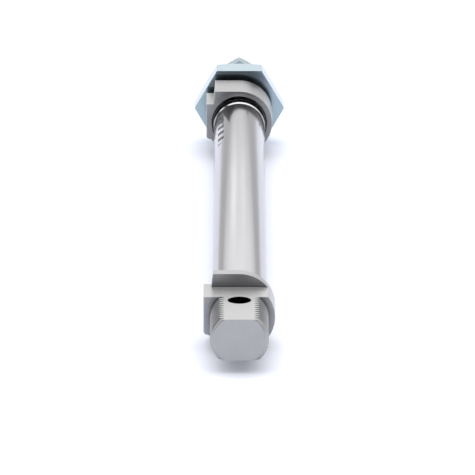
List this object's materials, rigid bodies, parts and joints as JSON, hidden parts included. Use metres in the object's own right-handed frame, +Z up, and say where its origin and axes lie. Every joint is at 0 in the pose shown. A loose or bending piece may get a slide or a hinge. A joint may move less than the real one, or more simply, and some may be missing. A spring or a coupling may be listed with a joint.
{
  "type": "pneumatic cylinder",
  "caption": "Round crimped pneumatic cylinder with a flatted, cross-drilled rear stud, a threaded front neck with mounting nut, side ports and a threaded piston rod.",
  "frame": {"origin": "centre of the rear stud's flat end face", "axes": "+Y along the cylinder axis towards the piston rod's tip, +Z up out of the stud's upper milled flat, the ports on the -X side"},
  "size_m": [0.037, 0.353, 0.032],
  "materials": {
    "aluminium_cap": "fine turned and milled, clear anodised",
    "stainless_tube": "drawn and ground stainless, fine lengthwise lines",
    "zinc_steel": "bright zinc plate, passivated slightly blue",
    "chromed_rod": "ground and hard chromed",
    "bearing_bronze": "sintered bronze, oiled",
    "nitrile": "moulded nitrile rubber",
    "polyurethane": "moulded polyurethane, slight sheen",
    "guide_plastic": "filled plastic wear ring",
    "magnet_plastic": "plastic-bound magnet",
    "piston_aluminium": "turned, bare"
  },
  "bodies": {
    "barrel": {"cylinder_barrel": "stainless_tube", "rear_end_cap": "aluminium_cap", "front_bearing_cap": "aluminium_cap", "mounting_nut": "zinc_steel", "rod_bearing_bush": "bearing_bronze", "rod_seal": "nitrile", "rod_wiper": "polyurethane", "seal_retaining_ring": "zinc_steel", "rear_barrel_o_ring": "nitrile", "front_barrel_o_ring": "nitrile", "rear_cushion_seal": "polyurethane", "front_cushion_seal": "polyurethane"},
    "piston_rings": {"piston_guide_ring": "guide_plastic", "rear_piston_seal": "polyurethane", "front_piston_seal": "polyurethane"},
    "rod": {"piston_rod": "chromed_rod", "rear_piston_half": "piston_aluminium", "front_piston_half": "piston_aluminium", "magnet_ring": "magnet_plastic", "rear_cushion_sleeve": "piston_aluminium", "front_cushion_sleeve": "piston_aluminium", "piston_lock_nut": "zinc_steel", "rod_nut": "zinc_steel"},
    "rear_screw_seal": {"rear_screw_o_ring": "nitrile"},
    "rear_screw": {"rear_cushion_screw": "zinc_steel"},
    "front_screw_seal": {"front_screw_o_ring": "nitrile"},
    "front_screw": {"front_cushion_screw": "zinc_steel"}
  },
  "joints": [
    {"name": "rod_slide", "type": "slide", "parent": "barrel", "child": "piston_rings", "axis": [0, 1, 0], "range_m": [-0.014, 0.186]},
    {"name": "rod_turn", "type": "hinge", "parent": "piston_rings", "child": "rod", "pos_m": [0, 0.083, 0], "axis": [0, 1, 0], "continuous": true},
    {"name": "rear_screw_travel", "type": "slide", "parent": "barrel", "child": "rear_screw_seal", "axis": [-1, 0, 0], "range_m": [0, 0.001]},
    {"name": "rear_screw_turn", "type": "hinge", "parent": "rear_screw_seal", "child": "rear_screw", "pos_m": [-0.009, 0.0405, 0.0107], "axis": [-1, 0, 0], "range_deg": [0, 720.1]},
    {"name": "front_screw_travel", "type": "slide", "parent": "barrel", "child": "front_screw_seal", "axis": [-1, 0, 0], "range_m": [0, 0.001]},
    {"name": "front_screw_turn", "type": "hinge", "parent": "front_screw_seal", "child": "front_screw", "pos_m": [-0.009, 0.2815, 0.0107], "axis": [-1, 0, 0], "range_deg": [0, 720.1]}
  ],
  "couplings": [
    {"joint": "rear_screw_turn", "follows": "rear_screw_travel", "rad_per_m": 12566},
    {"joint": "front_screw_turn", "follows": "front_screw_travel", "rad_per_m": 12566}
  ]
}
